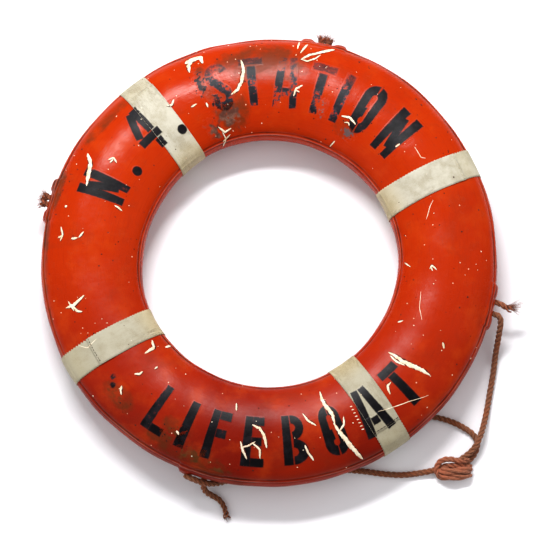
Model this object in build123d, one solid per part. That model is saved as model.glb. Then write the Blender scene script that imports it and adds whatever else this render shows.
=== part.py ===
"""Cork ring lifebuoy: pegged cork core, painted canvas cover, cloth bands and the remains of its grab line.

The ring lies on its back face. The origin is at the middle of the ring, on the surface that it lies on,
and +Z is the axis of the ring. Every size is in millimetres and every angle in degrees from +X.
"""

import os
from math import asin, atan2, cos, degrees, pi, radians, sin, sqrt, tan

from build123d import *

# Ring
outer_diameter = 762.0          # the 30 inch size
hole_diameter = 430.0
ring_thickness = 104.0
side_radius = 38.0              # of the section's rounded inner and outer edges

# Canvas cover
cover_thickness = 2.0           # canvas and its many coats of paint
seam_height = 69.0              # both seams lie above the middle of the ring
welt_radius = 1.6               # of the cord sewn into each seam
welt_proud = 0.6                # how far that cord stands out of the canvas

# Cloth bands
band_width = 50.8               # a 2 inch strip
band_thickness = 1.2
band_angles = {"upper_left": 127.7, "right": 25.6, "lower_left": 209.8, "lower_right": 303.8}
lap_reach = {"upper_left": 58.0, "right": 56.0, "lower_left": 36.0, "lower_right": 52.0}
stitch_count = 7
stitch_pitch = 6.5
stitch_length = 4.0
stitch_radius = 0.7

# Cork core and its pegs
blocks_per_layer = 8
peg_radius = 6.0
peg_cover = 12.0                # cork left above and below each peg

# Beckets: the places on the rim that hold the grab line
becket_angles = {"left": 164.4, "top": 76.0, "right": 347.8, "bottom": 252.8}
patch_length = 77.0
patch_height = 56.0
patch_thickness = 1.8
hump_offset = 27.5              # from the middle of a patch to the middle of each hump
hump_length = 20.0
hump_height = 34.0
hump_proud = 5.0
hump_edge = 2.5                 # its rounded edge
collar_radius = 6.8
collar_proud = 1.5              # how far the rope's collar stands out of the patch
bight_depth = 26.0              # how far the rope goes into the cork, from the rim

# Rope
rope_diameter = 10.0
stub_length = 14.0
stub_spacing = 12.0             # between the two cut ends at the left and top beckets
grab_line_spacing = 20.0        # between the grab line and its frayed end at the right becket

# Grab line, from the right becket down to the ground and along it to the knot
grab_line_route = [
    (373.5, -91.0, 52.0), (381.8, -92.8, 52.0), (386.3, -99.3, 49.8), (386.0, -108.5, 43.5),
    (384.0, -121.5, 33.0), (381.5, -137.0, 19.5), (378.5, -156.0, 8.5), (376.0, -179.0, 5.0),
    (371.5, -204.0, 5.0), (366.5, -230.0, 5.0), (362.0, -254.0, 7.5), (356.5, -275.0, 13.0),
    (351.5, -291.5, 18.0), (343.5, -308.5, 18.0), (331.5, -322.0, 17.0), (317.0, -331.0, 16.0),
]
# Frayed end of the grab line, on the other side of the right becket
frayed_end_route = [
    (377.8, -71.5, 52.0), (386.0, -73.2, 52.0), (394.0, -79.0, 51.0), (403.5, -83.5, 49.5),
    (413.5, -82.5, 48.5), (421.0, -79.0, 48.0),
]
# Second rope, from the knot round under the grab line to its loose end below the rim
second_rope_route = [
    (328.0, -335.2, 9.0), (337.0, -326.5, 6.5), (344.5, -315.0, 5.0), (347.5, -302.0, 5.0),
    (344.0, -290.0, 5.0), (334.0, -280.5, 5.0), (317.0, -270.0, 5.0), (295.0, -261.0, 5.0),
    (273.0, -256.0, 5.0), (255.0, -257.5, 5.0), (240.5, -265.0, 5.0), (228.0, -275.0, 5.0),
]
# Grab line on from the knot, below the rim and up into the bottom becket
under_rim_route = [
    (286.0, -344.5, 11.0), (270.0, -348.0, 7.0), (250.0, -351.5, 5.0), (224.0, -355.0, 5.0),
    (193.0, -353.5, 5.0), (160.0, -348.5, 5.0), (128.0, -345.5, 5.0), (96.0, -346.0, 5.0),
    (65.0, -351.0, 5.0), (35.0, -354.5, 5.0), (5.0, -356.0, 5.0), (-22.0, -357.5, 5.0),
    (-46.0, -360.5, 8.0), (-65.8, -364.9, 14.5), (-83.6, -371.4, 25.0), (-98.1, -374.9, 37.0),
    (-111.4, -373.6, 47.0), (-123.0, -369.6, 51.5), (-131.5, -366.2, 52.0), (-139.0, -362.0, 52.0),
]
# Tail, from the bottom becket down to its frayed end on the ground
tail_route = [
    (-106.5, -364.2, 32.4), (-109.4, -373.5, 27.0), (-106.0, -384.0, 15.0), (-94.5, -389.0, 5.5),
    (-81.5, -396.0, 5.0), (-72.5, -410.0, 5.0), (-70.0, -426.3, 5.0),
]
tail_collar_height = 34.0       # of the collar's middle on the rim
tail_collar_shift = 6.0         # along the rim, from the middle of the bottom becket

# Knot that ties the two ropes together
knot_centre = (306.5, -347.0)
knot_length = 56.0
knot_width = 40.0
knot_thickness = 24.0
knot_corner = 15.0
knot_edge = 9.0

# Worked out from the sizes above
rim_radius = outer_diameter / 2
mid_radius = (outer_diameter + hole_diameter) / 4
mid_height = ring_thickness / 2
half_width = (outer_diameter - hole_diameter) / 4
side_centre = half_width - side_radius
face_drop = (side_centre**2 - (mid_height - side_radius) ** 2) / (2 * (mid_height - side_radius))
face_radius = mid_height + face_drop
seam_slope = asin((seam_height - mid_height) / side_radius)
block_angle = 360 / blocks_per_layer
peg_height = ring_thickness - 2 * peg_cover
rope_radius = rope_diameter / 2
rim_centre = rim_radius - side_radius
collar_reach = side_radius + patch_thickness + collar_proud
tail_slope = degrees(asin((mid_height - tail_collar_height) / side_radius))
cut_size = 2 * ring_thickness   # of the blocks that cut a stretch out of the ring


def slab(low, high):
    """The section's plane between two heights."""
    return Pos(mid_radius, (low + high) / 2) * Rectangle(2 * cut_size, high - low)


def oval(grow, floor):
    """Section of the ring, grown outwards by grow and cut flat at the height floor."""
    slope = atan2(face_drop, side_centre)
    reach = side_centre + (side_radius + grow) * cos(slope)
    rise = (side_radius + grow) * sin(slope)
    side, face = half_width + grow, mid_height + grow
    outline = make_face([
        *ThreePointArc((-reach, rise), (0, face), (reach, rise)).edges(),
        *ThreePointArc((reach, rise), (side, 0), (reach, -rise)).edges(),
        *ThreePointArc((reach, -rise), (0, -face), (-reach, -rise)).edges(),
        *ThreePointArc((-reach, -rise), (-side, 0), (-reach, rise)).edges(),
    ])
    return Pos(mid_radius, mid_height) * outline - slab(floor - cut_size, floor)


def ring(profile, angle=360.0, start=0.0):
    """Turns a profile about the axis, anticlockwise from the angle start."""
    return Rot(0, 0, start) * revolve(Plane.XZ * profile, axis=Axis.Z, revolution_arc=angle)


def welt(side):
    """Section of the cord in the outer (side 1) or the inner (side -1) seam."""
    sunk = side_radius + welt_proud - welt_radius
    across = side_centre + sunk * cos(seam_slope)
    return Pos(mid_radius + side * across, mid_height + sunk * sin(seam_slope)) * Circle(welt_radius)


def rope(name, route):
    """Tube along a route: straight runs joined by arcs as large as the runs allow."""
    points = [Vector(*point) for point in route]
    runs = [after - before for before, after in zip(points, points[1:])]
    radii = [
        0.45 * min(first.length, second.length) / tan(radians(first.get_angle(second)) / 2)
        for first, second in zip(runs, runs[1:])
    ]
    path = FilletPolyline(*points, radius=radii)
    tube = sweep(Plane(origin=path @ 0, z_dir=path % 0) * Circle(rope_radius), path=path)
    share = tube.volume / (pi * rope_radius**2 * path.length)
    print(f"{name}: {path.length:.0f} mm, volume over section times length {share:.4f}, "
          f"radii {[round(radius) for radius in radii]}")
    return tube


def bight(angle, spacing, reach):
    """Rope into the rim, round inside the cork and out again, as far out as reach."""
    half = spacing / 2
    turn = rim_radius - bight_depth
    path = Curve() + [
        Line((reach, -half), (turn, -half)),
        ThreePointArc((turn, -half), (turn - half, 0), (turn, half)),
        Line((turn, half), (reach, half)),
    ]
    start = Plane(origin=(reach, -half, 0), z_dir=(-1, 0, 0))
    return Pos(0, 0, mid_height) * Rot(0, 0, angle) * sweep(start * Circle(rope_radius), path=path)


def collar(shift, slope):
    """Canvas collar round a rope, shift along the rim and turned down by slope."""
    place = Pos(rim_centre, shift, mid_height) * Rot(0, 90 + slope, 0)
    return place * Pos(0, 0, collar_reach / 2) * Cylinder(collar_radius, collar_reach)


def hump(side):
    """Raised pad of canvas over the rope, on one side of a becket."""
    turn = degrees(hump_length / rim_radius)
    middle = side * degrees(hump_offset / rim_radius)
    low, high = mid_height - hump_height / 2, mid_height + hump_height / 2
    outer = Pos(rim_radius, mid_height) * Rectangle(2 * side_radius, cut_size)
    profile = oval(patch_thickness + hump_proud, 0) & slab(low, high) & outer
    pad = ring(profile, turn, middle - turn / 2)
    return fillet(pad.faces().sort_by(Axis.X)[-1].edges(), hump_edge)


def becket_patch(angle, collars, humps, ropes):
    """Canvas patch over the rim with its collars and humps, round the ropes."""
    turn = degrees(patch_length / rim_radius)
    low, high = mid_height - patch_height / 2, mid_height + patch_height / 2
    outer = Pos(rim_radius, mid_height) * Rectangle(2 * side_radius, cut_size)
    patch = ring(oval(patch_thickness, 0) & slab(low, high) & outer, turn, -turn / 2)
    for shift, slope in collars:
        patch += collar(shift, slope)
    for side in humps:
        patch += hump(side)
    core = oval(0, band_thickness) + welt(1)
    return Rot(0, 0, angle) * (patch - ring(core, 2 * turn, -turn)) - ropes


def stitches(name):
    """Running stitches across the sewn lap of a band, half sunk in the cloth."""
    reach = lap_reach[name]
    height = mid_height + sqrt((face_radius + band_thickness) ** 2 - reach**2) - face_drop
    thread = Rot(90, 0, 0) * Cylinder(stitch_radius, stitch_length)
    middle = (stitch_count - 1) / 2
    row = Part() + [
        Pos(mid_radius + reach, (index - middle) * stitch_pitch, height) * thread
        for index in range(stitch_count)
    ]
    return Rot(0, 0, band_angles[name]) * row


def band(name):
    """Strip of cloth round the section of the ring."""
    profile = oval(band_thickness, 0) - oval(0, band_thickness) - welt(1) - welt(-1)
    turn = degrees(band_width / hole_diameter * 2)
    strip = ring(profile, 2 * turn, -turn) & (
        Pos(mid_radius, 0, mid_height) * Box(2 * cut_size, band_width, 2 * cut_size))
    return Rot(0, 0, band_angles[name]) * strip - stitches(name)


def cork_block(profile, start, cut):
    """One block of a layer, from the angle start on, round the pegs and the ropes."""
    return ring(profile, block_angle, start) - cut


cover = oval(0, band_thickness) - oval(-cover_thickness, band_thickness + cover_thickness)
core = oval(-cover_thickness, band_thickness + cover_thickness)
welts = welt(1) + welt(-1)
becket_reach = rim_centre + collar_reach
ropes = {
    "left": bight(becket_angles["left"], stub_spacing, becket_reach + stub_length),
    "top": bight(becket_angles["top"], stub_spacing, becket_reach + stub_length),
    "right": bight(becket_angles["right"], grab_line_spacing, becket_reach),
}
all_ropes = Part() + list(ropes.values())
pegs = Part() + [
    Rot(0, 0, (index + 0.5) * block_angle / 2) * Pos(mid_radius, 0, mid_height)
    * Cylinder(peg_radius, peg_height)
    for index in range(2 * blocks_per_layer)
]

nodes = {
    "canvas_cover_front": ring((cover & slab(seam_height, cut_size)) - welts),
    "canvas_cover_back": ring((cover & slab(0, seam_height)) - welts) - all_ropes,
    "seam_welt_outer": ring(welt(1)),
    "seam_welt_inner": ring(welt(-1)),
    "core_pegs": pegs,
    "becket_rope_left": ropes["left"],
    "becket_rope_top": ropes["top"],
    "grab_line_bight": ropes["right"],
    "grab_line": rope("grab_line", grab_line_route),
    "grab_line_frayed_end": rope("grab_line_frayed_end", frayed_end_route),
    "second_rope": rope("second_rope", second_rope_route),
    "grab_line_under_rim": rope("grab_line_under_rim", under_rim_route),
    "grab_line_tail": rope("grab_line_tail", tail_route),
}
upper, lower = (core & slab(mid_height, cut_size)) - welts, core & slab(0, mid_height)
for index in range(blocks_per_layer):
    start = index * block_angle
    nodes[f"cork_upper_{index + 1}"] = cork_block(upper, start, pegs + all_ropes)
    nodes[f"cork_lower_{index + 1}"] = cork_block(lower, start + block_angle / 2, pegs + all_ropes)
for name in band_angles:
    nodes[f"band_{name}"] = band(name)
nodes["band_stitches"] = Part() + [stitches(name) for name in band_angles]
stub_collars = [(side * stub_spacing / 2, 0) for side in (-1, 1)]
line_collars = [(side * grab_line_spacing / 2, 0) for side in (-1, 1)]
becket_shapes = {
    "left": (stub_collars, (-1, 1)),
    "top": (stub_collars, (-1, 1)),
    "right": (line_collars, (-1, 1)),
    "bottom": ([(tail_collar_shift, tail_slope)], (-1,)),
}
for name, (collars, humps) in becket_shapes.items():
    nodes[f"becket_patch_{name}"] = becket_patch(becket_angles[name], collars, humps, all_ropes)
knot_outline = RectangleRounded(knot_length, knot_width, knot_corner)
knot = extrude(knot_outline, knot_thickness)
nodes["rope_knot"] = Pos(*knot_centre, 0) * fillet(
    knot.edges().filter_by(Plane.XY), knot_edge)

os.makedirs("parts", exist_ok=True)
for name, shape in nodes.items():
    export_step(shape, f"parts/{name}.step")
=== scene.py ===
"""An old cork ring lifebuoy: painted canvas, cloth bands, stencilled words and what is left of its grab line.

Lengths are in metres and angles in degrees from +X, anticlockwise. "Across" is a distance along the section
of the ring, from the crest of its face: positive outwards, negative towards the hole.
"""
import math
import random

import bpy
import numpy as np
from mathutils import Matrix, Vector, noise


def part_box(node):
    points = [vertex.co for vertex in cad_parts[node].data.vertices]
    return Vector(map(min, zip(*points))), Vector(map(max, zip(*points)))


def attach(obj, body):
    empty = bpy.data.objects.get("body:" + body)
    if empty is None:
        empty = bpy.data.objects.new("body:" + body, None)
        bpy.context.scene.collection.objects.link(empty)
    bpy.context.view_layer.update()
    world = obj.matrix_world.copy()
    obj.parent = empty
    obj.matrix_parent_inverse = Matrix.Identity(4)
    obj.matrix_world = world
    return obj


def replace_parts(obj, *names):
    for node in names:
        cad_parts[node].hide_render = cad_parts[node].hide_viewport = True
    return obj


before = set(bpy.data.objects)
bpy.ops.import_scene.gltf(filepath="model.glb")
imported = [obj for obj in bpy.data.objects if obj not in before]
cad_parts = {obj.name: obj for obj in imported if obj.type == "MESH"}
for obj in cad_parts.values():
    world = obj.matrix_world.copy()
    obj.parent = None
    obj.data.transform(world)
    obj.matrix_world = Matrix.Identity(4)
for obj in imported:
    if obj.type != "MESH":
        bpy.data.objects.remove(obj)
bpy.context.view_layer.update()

MM = 0.001

# ---------------------------------------------------------------- sizes of the ring
rim_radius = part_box("seam_welt_outer")[1].x + 3.3 * MM
hole_radius = 215 * MM
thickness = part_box("canvas_cover_front")[1].z
side_radius = 38 * MM
seam_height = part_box("canvas_cover_front")[0].z
cover_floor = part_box("canvas_cover_back")[0].z
band_width = 50.8 * MM
band_angles = {"upper_left": 127.7, "right": 25.6, "lower_left": 209.8, "lower_right": 303.8}
lap_reach = {"upper_left": 58 * MM, "right": 56 * MM, "lower_left": 36 * MM, "lower_right": 52 * MM}
becket_angles = {"left": 164.4, "top": 76.0, "right": 347.8, "bottom": 252.8}
rope_diameter = 10 * MM

mid_radius = (rim_radius + hole_radius) / 2
half_width = (rim_radius - hole_radius) / 2
mid_height = thickness / 2
side_centre = half_width - side_radius
face_drop = (side_centre**2 - (mid_height - side_radius) ** 2) / (2 * (mid_height - side_radius))
face_radius = mid_height + face_drop
face_turn = math.atan2(side_centre, face_drop)      # from the crest to the end of the face's arc
face_length = face_radius * face_turn
side_length = side_radius * (math.pi - 2 * face_turn)
half_girth = 2 * face_length + side_length          # from the crest to the middle of the underside
seam_turn = math.pi / 2 - math.asin((seam_height - mid_height) / side_radius)
seam_across = face_length + side_radius * (seam_turn - face_turn)
first_angle = math.radians(band_angles["lower_right"] - 360)   # the paint's map starts below this band


# ---------------------------------------------------------------- camera and light
def camera():
    """A long lens, looking down on the ring from its lower side, 13 degrees from upright."""
    lens, frame_width = 200, 0.919
    tilt = math.radians(13)
    target = Vector((0.0100, -0.0243, mid_height))
    data = bpy.data.cameras.new("camera")
    data.lens = lens
    distance = frame_width * lens / data.sensor_width
    eye = bpy.data.objects.new("camera", data)
    eye.location = target + distance * Vector((0, -math.sin(tilt), math.cos(tilt)))
    eye.rotation_euler = (tilt, 0, 0)
    bpy.context.collection.objects.link(eye)
    bpy.context.scene.camera = eye


def softbox(name, place, size, power, mirrored=True, lights=True):
    """An area light that faces the middle of the ring, seen in its gloss, lighting its paint, or both."""
    data = bpy.data.lights.new(name, "AREA")
    data.shape = "RECTANGLE"
    data.size, data.size_y = size
    data.energy = power
    light = bpy.data.objects.new(name, data)
    light.location = place
    light.rotation_euler = (-Vector(place)).to_track_quat("-Z", "Y").to_euler()
    light.visible_glossy = mirrored
    light.visible_diffuse = lights
    bpy.context.collection.objects.link(light)


def studio():
    """Pale floor, soft light from the top of the picture, and a bright room."""
    softbox("softbox_key", (-0.40, 1.74, 2.60), (1.6, 0.36), 102)
    softbox("softbox_right", (2.30, 0.60, 2.15), (3.0, 3.0), 20, False)
    softbox("softbox_low", (-2.15, -1.50, 1.85), (2.5, 2.5), 22, False)
    softbox("window", (0.05, 0.95, 1.25), (0.26, 0.60), 7.5, lights=False)
    world = bpy.data.worlds.new("room")
    world.use_nodes = True
    room = world.node_tree.nodes["Background"]
    room.inputs["Color"].default_value = (1, 1, 1, 1)
    # How bright the room is: 0.47 as light on the ring, 0.97 to the camera and 0.17 in the gloss
    rays = add(world.node_tree, "LightPath").outputs
    feed(room, Strength=times(rays["Is Glossy Ray"], -0.30, times(rays["Is Camera Ray"], 0.50, 0.47)))
    bpy.context.scene.world = world
    bpy.context.scene.view_settings.view_transform = "Standard"
    bpy.context.scene.view_settings.look = "Medium High Contrast"
    half, front = 3.0, 4.2
    corners = [(-half, -front, 0), (half, -front, 0), (half, half, 0), (-half, half, 0)]
    mesh = bpy.data.meshes.new("floor")
    mesh.from_pydata(corners, [], [(0, 1, 2, 3)])
    floor = bpy.data.objects.new("floor", mesh)
    bpy.context.collection.objects.link(floor)
    mesh.materials.append(floor_material())


# ---------------------------------------------------------------- nodes
def srgb(red, green, blue):
    """A colour from 0 to 255 a channel, as the shader wants it."""
    def linear(value):
        value /= 255
        return value / 12.92 if value < 0.04045 else ((value + 0.055) / 1.055) ** 2.4
    return linear(red), linear(green), linear(blue), 1.0


def add(tree, kind, inputs=None, **settings):
    """A node with its inputs set, or linked where they are given a socket."""
    made = tree.nodes.new("ShaderNode" + kind)
    for key, value in settings.items():
        setattr(made, key, value)
    for key, value in (inputs or {}).items():
        if isinstance(value, bpy.types.NodeSocket):
            tree.links.new(value, made.inputs[key])
        else:
            made.inputs[key].default_value = value
    return made


def tree_of(*values):
    """The tree that holds the first socket among some values."""
    return next(value.id_data for value in values if isinstance(value, bpy.types.NodeSocket))


def blend(factor, first, second):
    """The first colour, or the second where factor is 1."""
    inputs = {0: factor, 6: first, 7: second}
    return add(tree_of(*inputs.values()), "Mix", inputs, data_type="RGBA").outputs[2]


def coats(colour, *layers):
    """A colour with others laid over it in turn, each given as how much of it there is, and its channels."""
    for amount, coat in layers:
        colour = blend(amount, colour, srgb(*coat))
    return colour


def maths(how, *values):
    return add(tree_of(*values), "Math", dict(enumerate(values)), operation=how).outputs[0]


def times(first, second, more=0.0):
    """first * second + more"""
    return maths("MULTIPLY_ADD", first, second, more)


def plus(first, second):
    return maths("ADD", first, second)


def minus(first, second):
    return maths("SUBTRACT", first, second)


def size_of(value):
    return maths("ABSOLUTE", value)


def ramp(value, low, high, to_low=0.0, to_high=1.0):
    """Smooth step from low to high."""
    inputs = {"Value": value, "From Min": low, "From Max": high, "To Min": to_low, "To Max": to_high}
    return add(value.id_data, "MapRange", inputs, interpolation_type="SMOOTHSTEP").outputs["Result"]


def noise_at(place, scale, detail=3.0, rough=0.5, twist=0.0):
    inputs = {"Vector": place, "Scale": scale, "Detail": detail, "Roughness": rough, "Distortion": twist}
    return add(place.id_data, "TexNoise", inputs).outputs["Fac"]


def stretched(place, scale):
    return add(place.id_data, "Mapping", {"Vector": place, "Scale": scale}).outputs[0]


def feed(node, **sockets):
    """Links sockets to a node's inputs."""
    for key, socket in sockets.items():
        socket.id_data.links.new(socket, node.inputs[key.replace("_", " ")])


def material(name, rough=0.5, level=0.3, **constants):
    """A material with its own shader node, and the tree to feed it. level is how strongly it mirrors."""
    made = bpy.data.materials.new(name)
    made.use_nodes = True
    shader = made.node_tree.nodes["Principled BSDF"]
    for key, value in dict(Roughness=rough, Specular_IOR_Level=level, **constants).items():
        shader.inputs[key.replace("_", " ")].default_value = value
    return made, made.node_tree, shader


def bump(shader, height, distance):
    feed(shader, Normal=add(height.id_data, "Bump", {"Height": height, "Distance": distance}).outputs[0])


def floor_material():
    """Pale paper. Far from the ring the camera sees plain white, so a low view has no horizon."""
    made, tree, shader = material("floor_paper", 0.9, 0.5, Emission_Color=(1, 1, 1, 1))
    place = add(tree, "TexCoord").outputs["Object"]
    far = add(tree, "VectorMath", {0: place}, operation="LENGTH").outputs["Value"]
    paper = blend(noise_at(place, 3.0, 4), srgb(230, 228, 232), srgb(236, 235, 238))
    seen = add(tree, "LightPath").outputs["Is Camera Ray"]
    feed(shader, Base_Color=coats(paper, (ramp(far, 0.9, 2.6), (254, 254, 254))),
         Emission_Strength=times(ramp(far, 0.9, 2.2), seen))
    return made


# ---------------------------------------------------------------- the ring's surface
def spread_angle(angle):
    """Radians from degrees, within the one turn that the paint's map covers."""
    turn = 2 * math.pi
    return first_angle + (np.radians(angle) - first_angle) % turn


def section(across):
    """Place on the section from its middle, outwards and up, and the outward direction there."""
    across = (np.asarray(across, float) + half_girth) % (2 * half_girth) - half_girth
    along, side = np.abs(across), np.where(across < 0, -1.0, 1.0)
    top, bottom = along < face_length, along > face_length + side_length
    turn = np.where(top, along / face_radius, face_turn + (along - face_length) / side_radius)
    turn = np.where(bottom, math.pi - (half_girth - along) / face_radius, turn)
    reach = np.where(top | bottom, face_radius, side_radius)
    centre = np.where(top | bottom, 0.0, side_centre)
    rise = np.where(top, -face_drop, np.where(bottom, face_drop, 0.0))
    return (side * (centre + reach * np.sin(turn)), rise + reach * np.cos(turn),
            side * np.sin(turn), np.cos(turn))


def make_lumps():
    """Long soft waves, which together make the hand-built ring's uneven surface."""
    pick = random.Random(7)
    waves = []
    for length in (0.26, 0.21, 0.17, 0.14, 0.12, 0.10, 0.085, 0.07, 0.06, 0.05):
        way = Vector((pick.uniform(-1, 1), pick.uniform(-1, 1), pick.uniform(-1, 1))).normalized()
        waves.append((np.array(way) * 2 * math.pi / length, pick.uniform(0, 6.28), 0.0016 * length ** 0.75))
    return waves


lumps = make_lumps()
# Dents: angle, across, length along the ring, length across it, depth, all lengths in mm
dents = [
    (181, 6, 10, 46, 0.7), (184, -2, 14, 30, 0.4), (109, -60, 22, 20, 0.5), (250, 44, 50, 16, 0.6),
    (77, 62, 30, 12, 0.6), (322, -2, 12, 34, 0.5), (340, 50, 36, 22, 0.6), (60, 20, 40, 30, 0.4),
    (130, 34, 9, 26, 0.5), (137, 22, 7, 20, -0.5), (143, 30, 7, 24, 0.4), (104, 38, 10, 16, -0.5),
    (98, 52, 8, 14, 0.5), (90, 44, 9, 18, -0.4), (171, 70, 4, 22, -0.9), (174, 62, 4, 18, 0.6),
]


deepest_hollow = 1.4 * MM


def relief(place, angle, across):
    """How far the canvas stands out of the smooth ring: lumps, dents and the two sewn seams."""
    total = sum(height * np.sin(place @ wave + phase) for wave, phase, height in lumps)
    for dent_angle, dent_across, length, width, depth in dents:
        along = (angle - spread_angle(dent_angle)) * mid_radius / (length * MM)
        aside = (across - dent_across * MM) / (width * MM)
        total = total - depth * MM * np.exp(-(along**2) - aside**2)
    short = np.abs((across + half_girth) % (2 * half_girth) - half_girth)
    seam = np.abs(short - seam_across) / MM
    wander = 1 + 0.15 * np.sin(angle * 17) + 0.10 * np.sin(angle * 41 + 1)
    ridge, furrow = np.exp(-((seam / 1.5) ** 2)), np.exp(-(((seam - 4.0) / 1.6) ** 2))
    total = total + MM * wander * (1.2 * ridge - 0.7 * furrow)
    return np.where(total < 0, deepest_hollow * np.tanh(total / deepest_hollow), total)


# Where the section is wider than elsewhere: by what share of itself, at which angle and how far either side
rim_swell, hole_swell = (0.085, 60, 24), (0.090, 152, 30)


def swell(angle, share, middle, reach):
    """The share at an angle of the ring, falling smoothly to 0 either side of the middle one."""
    off = (np.degrees(angle) - middle + 180) % 360 - 180
    return share * np.exp(-((off / reach) ** 2))


def surface(angle, across, lift=0.0, floor=None):
    """Points of the ring at angle, in radians, and across, lift above the canvas."""
    angle, across = np.broadcast_arrays(np.asarray(angle, float), np.asarray(across, float))
    out, up, out_way, up_way = section(across)
    cosine, sine = np.cos(angle), np.sin(angle)
    # Not quite round, as built: wider at the top, at the upper right rim and at the upper left of the hole
    wider = np.where(out < 0, 0.058, 0.035) * np.clip(sine, 0, 1) ** 2
    wider = wider + np.where(out < 0, swell(angle, *hole_swell), swell(angle, *rim_swell))
    out = out * (1 + wider)
    place = np.stack([(mid_radius + out) * cosine, (mid_radius + out) * sine, mid_height + up], -1)
    way = np.stack([out_way * cosine, out_way * sine, up_way], -1)
    place = place + way * (lift + relief(place, angle, across))[..., None]
    place[..., 2] = np.maximum(place[..., 2], cover_floor if floor is None else floor)
    return place


# ---------------------------------------------------------------- mesh helpers
def piece(name, points, faces, finish, layers=None, numbers=None):
    """A mesh piece that rides on the ring. layers are maps, one pair for each corner of each face."""
    mesh = bpy.data.meshes.new(name)
    mesh.from_pydata(np.asarray(points).reshape(-1, 3).tolist(), [], faces)
    for layer, pairs in (layers or {}).items():
        made = mesh.uv_layers.new(name=layer)
        made.data.foreach_set("uv", np.asarray(pairs, float).ravel())
    for key, values in (numbers or {}).items():
        made = mesh.attributes.new(key, "FLOAT", "POINT")
        made.data.foreach_set("value", np.asarray(values, float).ravel())
    mesh.polygons.foreach_set("use_smooth", [True] * len(mesh.polygons))
    mesh.materials.append(finish)
    mesh.update()
    made = bpy.data.objects.new(name, mesh)
    bpy.context.collection.objects.link(made)
    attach(made, "root")
    return made


def grid_faces(rows, columns, first=0, round_rows=False, round_columns=False):
    """Quads of a grid of points, row after row, closed where told to."""
    faces = []
    for row in range(rows if round_rows else rows - 1):
        below = first + row * columns
        above = first + ((row + 1) % rows) * columns
        for column in range(columns if round_columns else columns - 1):
            after = (column + 1) % columns
            faces.append((below + column, below + after, above + after, above + column))
    return faces


def grid_map(rows, columns, along, aside, round_rows=False, round_columns=False):
    """Corner pairs for grid_faces. Where a grid is closed, along or aside has one value more than it."""
    pairs = []
    for row in range(rows if round_rows else rows - 1):
        for column in range(columns if round_columns else columns - 1):
            pairs += [(along[row], aside[column]), (along[row], aside[column + 1]),
                      (along[row + 1], aside[column + 1]), (along[row + 1], aside[column])]
    return pairs


# ---------------------------------------------------------------- paint
# Dirty places: angle, across, length along the ring and length across it, all lengths in mm
dirty_places = [
    (247, 62, 46, 18), (254, 74, 30, 14), (240, 58, 26, 12), (243, 30, 24, 14), (224, 46, 26, 16),
    (24, 56, 16, 22), (162, 84, 34, 14), (178, 84, 70, 9), (110, 14, 12, 34), (104, -40, 34, 34),
    (140, 66, 40, 12), (60, -46, 24, 14), (92, 34, 66, 34),
]


def finish_group(name):
    """A node group for a finish, and the places that it works from: on the object and on the ring's map."""
    tree = bpy.data.node_groups.new(name, "ShaderNodeTree")
    for socket, kind in (("Color", "Color"), ("Roughness", "Float"), ("Height", "Float")):
        tree.interface.new_socket(socket, in_out="OUTPUT", socket_type="NodeSocket" + kind)
    place = add(tree, "TexCoord").outputs["Object"]
    lay = add(tree, "UVMap", uv_map="lay").outputs[0]
    along, aside = add(tree, "SeparateXYZ", {0: lay}).outputs[:2]
    return tree, place, lay, along, aside


def paint_spot(along, aside, rough_edge, angle, across, length, width):
    """1 in a worn or dirty place with a ragged edge, 0 away from it."""
    east = maths("DIVIDE", minus(along, float(spread_angle(angle)) * mid_radius), length * MM)
    north = maths("DIVIDE", minus(aside, across * MM), width * MM)
    far = maths("SQRT", plus(times(east, east), times(north, north)))
    return ramp(plus(far, rough_edge), 1.25, 0.75)


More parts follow.
